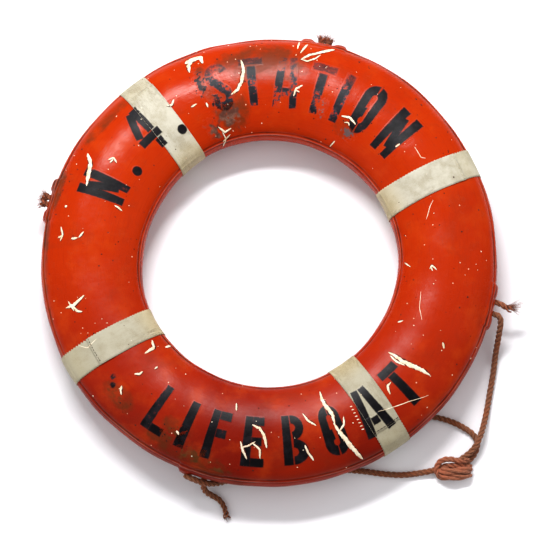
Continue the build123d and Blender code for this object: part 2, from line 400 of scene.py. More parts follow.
def paint_group():
    """Colour, roughness and height of the old orange-red paint, the same on every piece that wears it."""
    tree, place, lay, along, aside = finish_group("old_paint")
    cloud = noise_at(place, 5.0, 3, 0.55)
    patchy = noise_at(place, 19.0, 5, 0.6)
    mottle = noise_at(place, 75.0, 4, 0.6)
    strokes = noise_at(stretched(lay, (26, 420, 1)), 1.0, 3, 0.6)
    grain = noise_at(place, 900.0, 2, 0.6)
    north = add(tree, "SeparateXYZ", {0: place}).outputs[1]
    # The next two masks darken the paint towards the bottom of the ring, most at its very bottom: painted
    # shade, as the light comes from the top. The first also makes the bottom rougher.
    low = ramp(times(cloud, 0.25, north), 0.20, -0.20)
    lowest_painted_shade = ramp(times(cloud, 0.10, north), -0.14, -0.27, 0, 0.75)

    # Grime: thin all over, thicker on the rims and in a few places
    grime = noise_at(place, 11.0, 6, 0.68, 0.6)
    film = times(ramp(grime, 0.50, 0.72), times(ramp(size_of(aside), 74 * MM, 112 * MM), 0.40, 0.20))
    streak = noise_at(stretched(lay, (9, 130, 1)), 1.0, 4, 0.6)
    streak = times(ramp(streak, 0.44, 0.66, 0, 0.50), ramp(aside, 70 * MM, 100 * MM))
    drag, soot = times(minus(mottle, 0.5), 1.1), 0.0
    for spot in dirty_places:
        soot = maths("MAXIMUM", soot, paint_spot(along, aside, drag, *spot))
    soot = times(soot, ramp(grime, 0.36, 0.60, 0.10, 0.70))

    # The seams' ridges are paler: their paint is rubbed thin and grey, and a painted highlight lies on it.
    # Beside them dirt lies in the groove, with painted shade.
    seam = size_of(minus(size_of(aside), seam_across))
    ridge = times(ramp(seam, 1.7 * MM, 0.4 * MM), ramp(patchy, 0.38, 0.62, 0.10, 0.6))
    furrow = times(ramp(size_of(minus(seam, 3.6 * MM)), 2.6 * MM, 0.6 * MM),
                   ramp(grime, 0.40, 0.60, 0.25, 0.85))

    # Specks: dark pits and pale flecks
    cells = add(tree, "TexVoronoi", {"Vector": place, "Scale": 120.0, "Randomness": 1.0})
    chance = add(tree, "SeparateXYZ", {0: cells.outputs["Color"]}).outputs
    near = ramp(cells.outputs["Distance"], 0.17, 0.08)
    pits = times(near, maths("GREATER_THAN", chance[0], 0.955))
    flecks = times(near, maths("GREATER_THAN", chance[1], 0.972))

    # The base colour is darker towards the bottom of the ring: painted shade.
    colour = coats(blend(low, srgb(170, 48, 4), srgb(134, 26, 4)),
                   (lowest_painted_shade, (112, 20, 4)),
                   (ramp(cloud, 0.38, 0.62, 0, 0.5), (160, 40, 5)),
                   (ramp(patchy, 0.46, 0.72, 0, 0.35), (184, 68, 15)),
                   (ramp(strokes, 0.50, 0.80, 0, 0.30), (126, 30, 8)),
                   (ramp(mottle, 0.56, 0.80, 0, 0.30), (138, 46, 16)),
                   (film, (92, 42, 22)), (streak, (104, 52, 26)), (soot, (84, 44, 18)),
                   # Dirt and painted shade in the seams' grooves, then rubbed paint and a painted highlight
                   # on their ridges
                   (furrow, (72, 28, 14)), (ridge, (168, 104, 92)),
                   (pits, (58, 26, 18)), (times(flecks, 0.8), (236, 190, 160)))
    rough = times(plus(soot, film), 0.25, times(low, 0.18, times(mottle, 0.20, 0.13)))
    height = times(grain, 0.10, times(strokes, 0.35, times(mottle, 0.5)))
    height = times(noise_at(place, 34.0, 2, 0.5), 1.6, times(pits, -0.5, height))
    feed(tree.nodes.new("NodeGroupOutput"), Color=colour, Roughness=rough, Height=height)
    return tree


def cloth_group():
    """Colour, roughness and height of the bands: off-white paint over a coarse weave."""
    tree, place, lay, along, aside = finish_group("band_cloth")

    def thread(value, pitch):
        return size_of(maths("SINE", times(value, math.pi / pitch)))

    weave = times(thread(along, 1.5 * MM), thread(aside, 1.7 * MM))
    patchy = noise_at(place, 30.0, 5, 0.62)
    cloud = noise_at(place, 9.0, 3)
    fine = noise_at(place, 260.0, 3, 0.6)
    # The bands are darker towards the bottom of the ring: painted shade, as the light comes from the top.
    south = ramp(add(tree, "SeparateXYZ", {0: place}).outputs[1], 0.05, -0.16, 0, 0.55)
    inner = times(ramp(aside, -42 * MM, -88 * MM), 0.55)
    outer = times(ramp(aside, 34 * MM, 76 * MM), 0.35)
    pits = times(ramp(weave, 0.16, 0.02), ramp(patchy, 0.45, 0.62, 0.10, 0.55))
    creases = noise_at(stretched(lay, (150, 34, 1)), 1.0, 4, 0.7, 1.2)
    creases = ramp(size_of(minus(creases, 0.5)), 0.022, 0.004)
    creases = times(creases, ramp(cloud, 0.44, 0.60, 0.15, 0.75))
    colour = coats(blend(ramp(patchy, 0.40, 0.66), srgb(188, 183, 167), srgb(172, 165, 146)),
                   # the first layer here is the painted shade at the bottom of the ring
                   (south, (148, 140, 116)), (inner, (188, 170, 124)), (outer, (178, 166, 132)),
                   (ramp(cloud, 0.52, 0.72, 0, 0.22), (160, 150, 124)),
                   (ramp(fine, 0.60, 0.78, 0, 0.25), (132, 118, 92)),
                   (pits, (112, 96, 70)), (times(creases, 0.6), (120, 100, 66)))
    height = times(creases, -0.8, times(weave, 0.55, times(patchy, 0.6)))
    feed(tree.nodes.new("NodeGroupOutput"), Color=colour, Roughness=times(patchy, 0.3, 0.42), Height=height)
    return tree


old_paint = paint_group()
old_cloth = cloth_group()


def painted(name, group=old_paint, level=0.13, depth=0.45 * MM):
    """A node group's finish and nothing more: the plain painted canvas, or the bands' cloth."""
    made, tree, shader = material(name, level=level)
    out = add(tree, "Group", node_tree=group).outputs
    feed(shader, Base_Color=out["Color"], Roughness=out["Roughness"])
    bump(shader, out["Height"], depth)
    return made


def ink(name, dark, grey, wear):
    """Thin paint on top of the canvas or a band. The number "ink" is how much of it there is, from 0 to 1."""
    made, tree, shader = material(name, level=0.16)
    paint, band = (add(tree, "Group", node_tree=group).outputs for group in (old_paint, old_cloth))
    on_band, amount = (add(tree, "Attribute", attribute_name=key).outputs["Fac"]
                       for key in ("on_band", "ink"))
    place = add(tree, "TexCoord").outputs["Object"]
    patchy = noise_at(place, 42.0, 5, 0.65)
    fine = noise_at(place, 210.0, 4, 0.7)
    worn = ramp(times(patchy, 0.6, times(fine, 0.4)), 0.60 - wear * 0.12, 0.66 - wear * 0.06)
    cover = times(amount, times(worn, -wear, 1.0))
    spray = ramp(times(minus(fine, 0.5), 0.5, cover), 0.22, 0.72)
    body = blend(ramp(patchy, 0.42, 0.68), srgb(*dark), srgb(*grey))
    feed(shader, Base_Color=blend(spray, blend(on_band, paint["Color"], band["Color"]), body),
         Roughness=times(spray, 0.10, 0.36))
    bump(shader, times(fine, 0.25, paint["Height"]), 0.35 * MM)
    return made


# ---------------------------------------------------------------- canvas covers
def cover(name, start, end, finish):
    """One half of the canvas, from across start to end, with finer rows beside its seams."""
    coarse = np.linspace(start, end, round((end - start) / (4 * MM)) + 1)
    fine_steps = np.array([0.7, 1.4, 2.1, 2.9, 5.2, 6.4]) * MM
    across = np.sort(np.concatenate([coarse, start + fine_steps, end - fine_steps]))
    count = 660
    angle = first_angle + np.linspace(0, 2 * math.pi, count + 1)
    points = surface(angle[:-1, None], across[None, :])
    faces = grid_faces(count, len(across), round_rows=True)
    pairs = np.array(grid_map(count, len(across), angle * mid_radius, across, round_rows=True))
    pairs[:, 1] -= np.where(pairs[:, 1] > half_girth, 2 * half_girth, 0)
    return piece(name, points, faces, finish, {"lay": pairs})


def covers():
    finish = painted("painted_canvas")
    front = cover("canvas_front", -seam_across, seam_across, finish)
    back = cover("canvas_back", seam_across, 2 * half_girth - seam_across, finish)
    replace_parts(front, "canvas_cover_front", "seam_welt_outer", "seam_welt_inner")
    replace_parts(back, "canvas_cover_back")


# ---------------------------------------------------------------- cloth bands
tooth_pitch = 5.2 * MM
teeth = {"upper_left": (0.4, 0.4), "right": (1.0, 2.8), "lower_left": (2.8, 1.0), "lower_right": (1.6, 1.2)}
lap_overlap = 24 * MM
band_lift = 0.35 * MM
cloth_thickness = 0.9 * MM
strip_length = 2 * half_girth + lap_overlap
strip_rows = np.linspace(0, strip_length, round(strip_length / (tooth_pitch / 2)) + 1)


def band_edge(name, side, along):
    """Half the width of a band on one side, with its pinked teeth, at places along the strip."""
    phase = strip_rows / tooth_pitch
    tooth = np.abs(phase - np.floor(phase) - 0.5) * 2
    edge = band_width / 2 - teeth[name][side] * MM * tooth - 0.5 * MM * np.sin(strip_rows * 37 + side * 2)
    return np.interp(along, strip_rows, edge)


def band(name, finish):
    """A strip once round the ring, with its upper end lapped over its lower one."""
    along, rows = strip_rows, len(strip_rows)
    across = lap_reach[name] - lap_overlap + along
    step = np.clip((along - (strip_length - lap_overlap - 6 * MM)) / (6 * MM), 0, 1)
    low = band_lift + cloth_thickness * step
    share = np.linspace(-1, 1, 15)
    right, left = band_edge(name, 0, along), band_edge(name, 1, along)
    wide = np.where(share[None, :] < 0, share[None, :] * right[:, None], share[None, :] * left[:, None])
    out = section(across)[0]
    angle = math.radians(band_angles[name]) + np.arcsin(wide / (mid_radius + out)[:, None])
    angle = first_angle + (angle - first_angle) % (2 * math.pi)
    sheets = []
    for lift in (low + cloth_thickness, low - band_lift):
        sheets.append(surface(angle, np.broadcast_to(across[:, None], angle.shape), lift[:, None], 0.0))
    top, bottom = sheets
    bottom[..., 2] = np.maximum(bottom[..., 2], 0.3 * MM)
    columns = 2 * len(share)
    points = np.concatenate([top, bottom[:, ::-1]], 1)
    faces = grid_faces(rows, columns, round_columns=True)
    real = (across + half_girth) % (2 * half_girth) - half_girth
    aside = list(share * band_width / 2) + list(share[::-1] * band_width / 2) + [-band_width / 2]
    base = math.radians(band_angles[name]) * mid_radius
    pairs = [(base + b, a) for a, b in grid_map(rows, columns, real, aside, round_columns=True)]
    faces += [tuple(range(columns - 1, -1, -1)), tuple((rows - 1) * columns + i for i in range(columns))]
    pairs += [(base, real[0])] * columns + [(base, real[-1])] * columns
    made = piece("band_" + name + "_cloth", points, faces, finish, {"lay": pairs})
    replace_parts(made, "band_" + name)


def band_top(angle, across):
    """How high the bands stand over the canvas at places on the ring."""
    out = section(across)[0]
    lift = np.zeros(np.broadcast(angle, across).shape)
    for name, middle in band_angles.items():
        aside = np.sin(angle - math.radians(middle)) * (mid_radius + out)
        along = (across - lap_reach[name]) % (2 * half_girth) + lap_overlap
        edge = np.where(aside < 0, band_edge(name, 0, along), band_edge(name, 1, along))
        on = (np.abs(aside) < edge - 0.15 * MM) & (np.cos(angle - math.radians(middle)) > 0)
        lapped = (across < lap_reach[name]) & (across > lap_reach[name] - lap_overlap - 6 * MM)
        lift = np.where(on, band_lift + cloth_thickness + np.where(lapped, cloth_thickness, 0), lift)
    return lift


thread_radius = 0.55 * MM
stitch_inset = 3.5 * MM      # from the lap's edge


def stitches(name, finish, bands, long, pitch):
    """Running stitches across the laps of some bands, as short bent threads, long and pitch in mm."""
    points, faces = [], []
    share = np.linspace(-1, 1, 7)
    for middle, lap in ((band_angles[band], lap_reach[band]) for band in bands):
        for place in np.arange(-22, 22.1, pitch):
            wide = (place + share * long / 2) * MM
            across = np.full(len(share), lap - stitch_inset)
            angle = math.radians(middle) + wide / (mid_radius + section(across)[0])
            lift = band_lift + 2 * cloth_thickness + 0.35 * MM - 0.9 * MM * share**4
            line = [Vector(p) for p in surface(spread_angle(np.degrees(angle)), across, lift)]
            tube_into(points, faces, line, [thread_radius] * len(share), 6)
    return piece(name, points, faces, finish)


# ---------------------------------------------------------------- tubes and ropes
def run_along(line):
    """How far each point of a line lies from its start, along it."""
    return np.concatenate([[0], np.cumsum(np.linalg.norm(np.diff(line, axis=0), axis=1))])


def spline_points(name, route, step=1.6 * MM):
    """Even points along the smooth NURBS line of a route."""
    curve = bpy.data.curves.new(name + "_route", "CURVE")
    curve.dimensions = "3D"
    curve.resolution_u = 16
    spline = curve.splines.new("NURBS")
    spline.points.add(len(route) - 1)
    for point, place in zip(spline.points, route):
        point.co = (*place, 1)
    spline.order_u = 3
    spline.use_endpoint_u = True
    carrier = bpy.data.objects.new(name + "_route", curve)
    mesh = bpy.data.meshes.new_from_object(carrier)
    line = np.array([v.co[:] for v in mesh.vertices])
    bpy.data.objects.remove(carrier)
    bpy.data.meshes.remove(mesh)
    far = run_along(line)
    even = np.linspace(0, far[-1], max(round(far[-1] / step), 4) + 1)
    return np.stack([np.interp(even, far, line[:, axis]) for axis in range(3)], -1), far[-1]


def frames_along(line):
    """Directions along a line and two across it, turned as little as possible from point to point."""
    line = np.asarray(line, float)
    ways = np.gradient(line, axis=0)
    ways /= np.linalg.norm(ways, axis=1)[:, None]
    start = np.cross(ways[0], (0, 0, 1) if abs(ways[0][2]) < 0.9 else (1, 0, 0))
    first = [start / np.linalg.norm(start)]
    for way in ways[1:]:
        turned = first[-1] - way * np.dot(first[-1], way)
        first.append(turned / np.linalg.norm(turned))
    first = np.array(first)
    return ways, first, np.cross(ways, first)


def tube_into(points, faces, line, radii, sides, pairs=None):
    """Adds a closed tube round a line to points and faces, and its map to pairs."""
    line = np.asarray([tuple(p) for p in line], float)
    _, first, second = frames_along(line)
    radii = np.asarray(radii, float)
    base = len(points)
    turn = np.linspace(0, 2 * math.pi, sides, endpoint=False)
    ring = (np.cos(turn)[None, :, None] * first[:, None] + np.sin(turn)[None, :, None] * second[:, None])
    places = line[:, None] + ring * radii[:, None, None]
    points.extend(places.reshape(-1, 3).tolist())
    made = grid_faces(len(line), sides, base, round_columns=True)
    made.append(tuple(base + i for i in range(sides - 1, -1, -1)))
    made.append(tuple(base + (len(line) - 1) * sides + i for i in range(sides)))
    faces.extend(made)
    if pairs is not None:
        far = run_along(line)
        pairs.extend(grid_map(len(line), sides, far, np.linspace(0, 1, sides + 1), round_columns=True))
        pairs.extend([(0, i / sides) for i in range(sides)] + [(far[-1], i / sides) for i in range(sides)])


strand_offset, strand_radius = 0.272, 0.248     # of the rope's diameter


def strand_lines(line, diameter, pitch, phase, flare=(0, 0)):
    """The three strands of a laid rope round a line. flare opens them at the start and at the end."""
    _, first, second = frames_along(line)
    far = run_along(line)
    reach = strand_offset * diameter * np.ones(len(line))
    for length, at in ((flare[0], far), (flare[1], far[-1] - far)):
        if length:
            reach = reach * (1 + 1.1 * np.clip(1 - at / length, 0, 1) ** 2)
    strands = []
    for strand in range(3):
        turn = phase + 2 * math.pi * (strand / 3 + far / pitch)
        off = np.cos(turn)[:, None] * first + np.sin(turn)[:, None] * second
        strands.append(line + reach[:, None] * off)
    return strands


def hairs_into(points, faces, pairs, pick, line, diameter, count, longest):
    """Loose fibres that stand out of a rope."""
    ways, first, second = frames_along(line)
    for _ in range(count):
        spot = pick.randrange(1, len(line) - 1)
        turn = pick.uniform(0, 2 * math.pi)
        out = np.cos(turn) * first[spot] + np.sin(turn) * second[spot]
        lean = pick.uniform(-1.6, 1.6) * ways[spot] + pick.uniform(-0.6, 0.6) * second[spot]
        length = pick.uniform(0.3, 1.0) * longest
        root = line[spot] + out * diameter * 0.46
        tip = root + out * length * 0.55 + lean * length * 0.5
        middle = (root + tip) / 2 + out * length * 0.12
        hair = [root, middle, tip]
        if min(p[2] for p in hair) < 0.2 * MM:
            continue
        tube_into(points, faces, hair, [0.13 * MM, 0.11 * MM, 0.05 * MM], 3, pairs)


def laid_rope(name, line, finish, seed, diameter=rope_diameter, flare=(0, 0), hairs=3.2, pitch=2.6,
              taper=(1, 1)):
    """Three twisted strands along a line, with their fibres, as one piece."""
    pick = random.Random(seed)
    points, faces, pairs = [], [], []
    line = np.asarray(line, float)
    count = len(line)
    long = float(run_along(line)[-1])
    shrink = np.interp(np.linspace(0, 1, count), [0, 0.5, 1], [taper[0], 1, taper[1]])
    for strand in strand_lines(line, diameter, pitch * diameter, pick.uniform(0, 6), flare):
        wobble = [1 + 0.05 * math.sin(i * 0.9 + seed) + pick.uniform(-0.04, 0.04) for i in range(count)]
        radii = strand_radius * diameter * np.array(wobble) * shrink
        strand[:, 2] = np.maximum(strand[:, 2], radii + 0.1 * MM)
        tube_into(points, faces, strand, radii, 10, pairs)
    hairs_into(points, faces, pairs, pick, line, diameter, round(long / MM * hairs), 2.6 * MM)
    return piece(name, points, faces, finish, {"lay": pairs})


def rope_material(name, light, dark, stain):
    """Old natural fibre: twisted yarns along each strand, stained red-brown."""
    made, tree, shader = material(name, 0.85, 0.25, Sheen_Weight=0.15)
    place = add(tree, "TexCoord").outputs["Object"]
    lay = add(tree, "UVMap", uv_map="lay").outputs[0]
    far, round_it = add(tree, "SeparateXYZ", {0: lay}).outputs[:2]
    wind = times(far, 2 * math.pi / (11 * MM), times(round_it, 2 * math.pi * 5))
    yarn = maths("SINE", times(noise_at(place, 420.0, 3, 0.6), 3.0, wind))
    fibre = noise_at(stretched(lay, (260, 26, 1)), 1.0, 4, 0.7)
    patchy = noise_at(place, 32.0, 4, 0.6)
    # The rope is darker between the yarns: painted shade in their grooves. The patchy stain is the fibre's
    # own colour.
    colour = coats(blend(ramp(fibre, 0.30, 0.72), srgb(*dark), srgb(*light)),
                   (ramp(yarn, 0.1, -0.9, 0, 0.45), dark), (ramp(patchy, 0.42, 0.66, 0, 0.7), stain))
    feed(shader, Base_Color=colour)
    bump(shader, times(yarn, 0.35, fibre), 0.5 * MM)
    return made


# Routes of the free ropes: control points of one smooth line each
grab_line_route = [
    (0.3735, -0.091, 0.052), (0.3818, -0.0928, 0.052), (0.3863, -0.0993, 0.0498),
    (0.386, -0.1085, 0.0435), (0.384, -0.1215, 0.033), (0.3815, -0.137, 0.0195), (0.3785, -0.156, 0.0085),
    (0.376, -0.179, 0.005), (0.3715, -0.204, 0.005), (0.3665, -0.23, 0.005), (0.362, -0.254, 0.0075),
    (0.3565, -0.275, 0.013), (0.3515, -0.2915, 0.018), (0.3435, -0.3085, 0.018), (0.3315, -0.322, 0.017),
    (0.317, -0.331, 0.016),
]
frayed_end_route = [
    (0.3778, -0.0715, 0.052), (0.386, -0.0732, 0.052), (0.394, -0.079, 0.051), (0.4035, -0.0835, 0.0495),
    (0.4135, -0.0825, 0.0485), (0.421, -0.079, 0.048),
]
second_rope_route = [
    (0.328, -0.3352, 0.009), (0.337, -0.3265, 0.0065), (0.3445, -0.315, 0.005), (0.3475, -0.302, 0.005),
    (0.344, -0.29, 0.005), (0.334, -0.2805, 0.005), (0.317, -0.27, 0.005), (0.295, -0.261, 0.005),
    (0.273, -0.256, 0.005), (0.255, -0.2575, 0.005), (0.2405, -0.265, 0.005), (0.228, -0.275, 0.005),
]
under_rim_route = [
    (0.286, -0.3445, 0.011), (0.27, -0.348, 0.007), (0.25, -0.3515, 0.005), (0.224, -0.355, 0.005),
    (0.193, -0.3535, 0.005), (0.16, -0.3485, 0.005), (0.128, -0.3455, 0.005), (0.096, -0.346, 0.005),
    (0.065, -0.351, 0.005), (0.035, -0.3545, 0.005), (0.005, -0.356, 0.005), (-0.022, -0.3575, 0.005),
    (-0.046, -0.3605, 0.008), (-0.0658, -0.3649, 0.0145), (-0.0836, -0.3714, 0.025),
    (-0.0981, -0.3749, 0.037), (-0.1114, -0.3736, 0.047), (-0.123, -0.3696, 0.0515),
    (-0.1315, -0.3662, 0.052), (-0.139, -0.362, 0.052),
]
tail_route = [
    (-0.1065, -0.3642, 0.0324), (-0.1094, -0.3735, 0.027), (-0.106, -0.384, 0.015),
    (-0.0945, -0.389, 0.0055), (-0.0815, -0.396, 0.005), (-0.0725, -0.41, 0.005), (-0.07, -0.4263, 0.005),
]


def bight_route():
    """The rope inside the right becket, from where the grab line leaves it back to the frayed end."""
    depth = 40 * MM
    start, end = Vector(grab_line_route[0]), Vector(frayed_end_route[0])
    turn = math.radians(becket_angles["right"])
    inwards = -Vector((math.cos(turn), math.sin(turn), 0))
    return [start, start + inwards * depth * 0.6, start + inwards * depth, end + inwards * depth,
            end + inwards * depth * 0.6, end]


def free_rope(name, node, route, finish, seed, flare=(0, 0), taper=(1, 1), hairs=3.2):
    """A rope along its route, in place of its CAD tube."""
    line, length = spline_points(name, route)
    made = laid_rope(name, line, finish, seed, flare=flare, taper=taper, hairs=hairs)
    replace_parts(made, node)


def wisps(name, root, way, finish, seed, count, reach, spread, thick=0.22 * MM, start=2.4 * MM):
    """Loose yarns at a cut end: thin curling tubes that fan out of a place."""
    pick = random.Random(seed)
    points, faces, pairs = [], [], []
    root, way = np.array(root, float), np.array(way, float)
    way /= np.linalg.norm(way)
    _, first, second = (a[0] for a in frames_along(np.array([root, root + way, root + 2 * way])))
    for _ in range(count):
        turn, off = pick.uniform(0, 2 * math.pi), pick.uniform(0, 1) ** 0.5
        out = math.cos(turn) * first + math.sin(turn) * second
        long = reach * pick.uniform(0.45, 1.0)
        bend, curl = pick.uniform(0.1, 1.0) * spread * off, pick.uniform(-1, 1) * 0.35
        aside = np.cross(way, out)
        strand = []
        for step in np.linspace(0, 1, 7):
            place = root + out * start * off + way * long * step
            bent = out * long * bend * step**2
            strand.append(place + bent + aside * long * curl * step**2 * math.sin(3 * step))
        for p in strand:
            p[2] = max(p[2], 0.4 * MM)
        wide = thick * pick.uniform(0.6, 1.3)
        tube_into(points, faces, strand, np.linspace(wide, wide * 0.35, 7), 4, pairs)
    piece(name, points, faces, finish, {"lay": pairs})


def ropes():
    """The grab line, its ends and the second rope."""
    brown = rope_material("grab_line_fibre", (172, 116, 84), (86, 48, 30), (138, 78, 48))
    grey = rope_material("frayed_fibre", (186, 118, 84), (92, 48, 30), (158, 78, 46))
    free_rope("grab_line_rope", "grab_line", grab_line_route, brown, 3)
    free_rope("second_rope_rope", "second_rope", second_rope_route, brown, 5,
              flare=(0, 12 * MM), taper=(1, 0.6))
    free_rope("under_rim_rope", "grab_line_under_rim", under_rim_route, brown, 8, hairs=2.4)
    free_rope("tail_rope", "grab_line_tail", tail_route, brown, 13,
              flare=(0, 14 * MM), taper=(1, 0.55))
    line, _ = spline_points("frayed_end", frayed_end_route, 1.2 * MM)
    frayed = laid_rope("frayed_end_rope", line[: len(line) * 2 // 3], grey, 21, 9.4 * MM, flare=(0, 18 * MM),
                       hairs=6, pitch=3.2, taper=(1, 0.5))
    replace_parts(frayed, "grab_line_frayed_end")
    root = line[len(line) * 2 // 5]
    wisps("frayed_end_wisps", root, line[-1] - root, grey, 31, 80, 33 * MM, 0.95,
          thick=0.26 * MM, start=3.4 * MM)
    bight, _ = spline_points("bight", bight_route())
    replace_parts(laid_rope("grab_line_bight_rope", bight, brown, 27, hairs=0), "grab_line_bight")
    for name, route, root, seed, count, spread in (("second_rope_wisps", second_rope_route, -5, 32, 40, 0.7),
                                                   ("tail_wisps", tail_route, -6, 33, 36, 0.6)):
        line, _ = spline_points(name, route)
        wisps(name, line[root], line[-1] - line[-8], brown, seed, count, 15 * MM, spread)
    for side in ("left", "top"):
        middle = math.radians(becket_angles[side])
        for number, shift in enumerate((-6 * MM, 6 * MM)):
            way = Vector((math.cos(middle), math.sin(middle), 0))
            across = Vector((-way.y, way.x, 0))
            swollen = half_width * float(swell(middle, *rim_swell))
            base = way * (rim_radius + swollen - 3 * MM) + across * shift + Vector((0, 0, mid_height))
            line = [base + way * d * MM for d in range(0, 19, 3)]
            stub = laid_rope(f"becket_stub_{side}_{number + 1}", np.array(line), grey, 41 + number,
                             flare=(0, 9 * MM), hairs=9, taper=(1, 0.7))
            wisps(f"becket_stub_wisps_{side}_{number + 1}", line[3], way, grey, 51 + number, 90, 17 * MM, 1.0,
                  thick=0.3 * MM, start=6 * MM)
            if number == 0:
                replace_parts(stub, "becket_rope_" + side)


# ---------------------------------------------------------------- knot
# The knot's turns: thickness and control points in mm, lying over each other where the CAD block is
knot_turns = {
    "arch": (9.5, [(287, -360, 6), (280, -355, 9), (277.5, -346, 12), (280, -337, 15), (288, -331, 16.5),
        (300, -329.5, 17.5), (313, -332.5, 18), (324, -334, 17), (331, -329, 15)]),
    "inner": (10, [(283, -344, 6), (290, -340.5, 9), (301, -340, 11), (315, -340, 12), (326, -339, 10),
        (333, -343, 7)]),
    "wrap_upper": (12.5, [(285, -345, 6), (286, -349, 13), (292, -350.5, 17), (305, -350.5, 18.5),
        (319, -349.5, 18), (329, -348, 15), (333, -347, 8)]),
    "wrap_lower": (12, [(285, -355, 5.5), (286, -358, 10), (292, -359, 13), (305, -359.5, 14),
        (319, -358.5, 13.5), (329, -356.5, 11), (333, -353, 6)]),
    "under": (9.5, [(284, -340, 5), (292, -348, 5), (306, -351, 5), (320, -350, 5), (331, -344, 5.5),
        (334, -337, 8)]),
}


def knot(finish):
    """The knot, as five turns of the rope pulled tight."""
    first = None
    for number, (name, (wide, route)) in enumerate(knot_turns.items()):
        line, _ = spline_points("knot_" + name, [tuple(MM * v for v in point) for point in route])
        turn = laid_rope("knot_" + name, line, finish, 60 + number, wide * MM, hairs=3,
                         pitch=7.5 if "wrap" in name else 3.1)
        first = first or turn
    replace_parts(first, "rope_knot")


# ---------------------------------------------------------------- becket patches
# Half the width and half the height of a patch and of its pads, and how far they stand out
patch_wide, patch_tall, patch_height, patch_tuck = 38 * MM, 28 * MM, 1.9 * MM, 0.3 * MM
pad_middle, pad_wide, pad_tall = 27.5 * MM, 9.5 * MM, 15 * MM
pad_heights = {"left": 4.2 * MM, "top": 4.2 * MM, "right": 2.6 * MM, "bottom": 4.2 * MM}


def becket(name, finish):
    """A canvas patch over the rim, painted over, with its raised pads either side of the rope."""
    middle = math.radians(becket_angles[name])
    rim_across = face_length + side_length / 2
    rows, columns, margin = 61, 41, 3 * MM
    wide = np.linspace(-patch_wide - margin, patch_wide + margin, rows)
    tall = np.linspace(-patch_tall - margin, patch_tall + margin, columns)
    x, y = np.meshgrid(wide, tall, indexing="ij")

    def mound(at, half, edge):
        return 1 / (1 + np.exp((np.abs(at) - half) / edge))

    lift = patch_height * mound(x, patch_wide, 0.8 * MM) * mound(y, patch_tall, 0.8 * MM) - patch_tuck
    for side in (-1,) if name == "bottom" else (-1, 1):
        pad = mound(x - side * pad_middle, pad_wide, 1.5 * MM) * mound(y, pad_tall, 2 * MM)
        lift = lift + pad_heights[name] * pad
    # A low bulge between the pads, then creases
    lift = lift + 0.9 * MM * mound(x, 15 * MM, 2 * MM) * mound(y, 9 * MM, 1.5 * MM)
    lift = lift + 0.5 * MM * np.sin(x * 210 + y * 90) * np.cos(y * 260) * mound(x, 30 * MM, 4 * MM)
    angle = spread_angle(np.degrees(middle + x / rim_radius))
    points = surface(angle, rim_across + y, lift)
    faces = grid_faces(rows, columns)
    pairs = grid_map(rows, columns, angle[:, 0] * mid_radius, rim_across + tall)
    made = piece("becket_" + name, points, faces, finish, {"lay": pairs})
    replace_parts(made, "becket_patch_" + name)


# ---------------------------------------------------------------- letters, stains and chips
def bar(x, y, start, end, half):
    """Distance to a straight stroke with square ends, less than 0 inside it."""
    (ax, ay), (bx, by) = start, end
    long = math.hypot(bx - ax, by - ay)
    ux, uy = (bx - ax) / long, (by - ay) / long
    along = (x - ax) * ux + (y - ay) * uy
    aside = -(x - ax) * uy + (y - ay) * ux
    return np.maximum(np.abs(along - long / 2) - long / 2, np.abs(aside) - half)


def bow(x, y, centre, radii, half, start, end):
    """Distance to a curved stroke: part of an ellipse's line, from angle start to end."""
    dx, dy = (x - centre[0]) / radii[0], (y - centre[1]) / radii[1]
    far = (np.hypot(dx, dy) - 1) * min(radii)
    turn = np.degrees(np.arctan2(dy, dx))
    middle, reach = (start + end) / 2, (end - start) / 2
    off = (np.abs((turn - middle + 180) % 360 - 180) - reach) * math.pi / 180 * min(radii)
    return np.maximum(np.abs(far) - half, off)


def dot(x, y, centre, radius):
    return np.hypot(x - centre[0], y - centre[1]) - radius


strokes_by_size = {2: dot, 3: bar, 5: bow}
# In mm: the width of the paint's soft edge, and how far it creeps past the stencil
spray_soft, spray_reach = 1.9, 1.3
letter_wide, letter_tall = 36, 74
# Stencil letters as strokes, in mm. A stroke holds what dot, bar or bow asks for.
letters = {
    "N": [((6, 0), (6, 74), 5.5), ((31, 0), (31, 74), 5.5), ((12.5, 62), (24.5, 14), 5.0)],
    "4": [((27, 0), (27, 13), 5.8), ((27, 30.5), (27, 74), 5.8), ((-4, 22), (38, 22), 4.8),
          ((2, 31), (19.5, 71), 5.0)],
    "S": [((18, 55), (12.5, 13.5), 5.5, 20, 168), ((18, 55), (12.5, 13.5), 5.5, 180, 262),
          ((18, 19), (12.5, 13.5), 5.5, -10, 82), ((18, 19), (12.5, 13.5), 5.5, 200, 340),
          ((13, 43), (23, 31), 6)],
    "T": [((0, 68), (36, 68), 5.8), ((18, 0), (18, 58.5), 6.2)],
    "A": [((3, 0), (11.5, 74), 5.0), ((34, 0), (25.5, 74), 5.0), ((14, 21), (23, 21), 4.6)],
    "I": [((18, 0), (18, 74), 6.4)],
    "O": [((18, 18), (11.5, 13), 5.6, 100, 259), ((18, 56), (11.5, 13), 5.6, 101, 180),
          ((18, 18), (11.5, 13), 5.6, 281, 360), ((18, 56), (11.5, 13), 5.6, 0, 79),
          ((6.5, 18), (6.5, 56), 5.6), ((29.5, 18), (29.5, 56), 5.6)],
    "L": [((7, 0), (7, 74), 6), ((15.5, 5.5), (34, 5.5), 5.5)],
    "F": [((7, 0), (7, 74), 6), ((16, 68.5), (35, 68.5), 5.5), ((16, 41), (31, 41), 5.2)],
    "E": [((7, 0), (7, 74), 6), ((15.5, 68.5), (34, 68.5), 5.5), ((15.5, 37.5), (30, 37.5), 5.2),
          ((15.5, 5.5), (34, 5.5), 5.5)],
    "B": [((6.5, 0), (6.5, 74), 5.6), ((15.5, 55.5), (14, 13), 5.3, -80, 86),
          ((15.5, 18.5), (15.5, 13.2), 5.3, -86, 80)],
    ".": [((18, 37), 6.6)],
}


decal_lift, rim_tuck = 0.14 * MM, 0.1 * MM


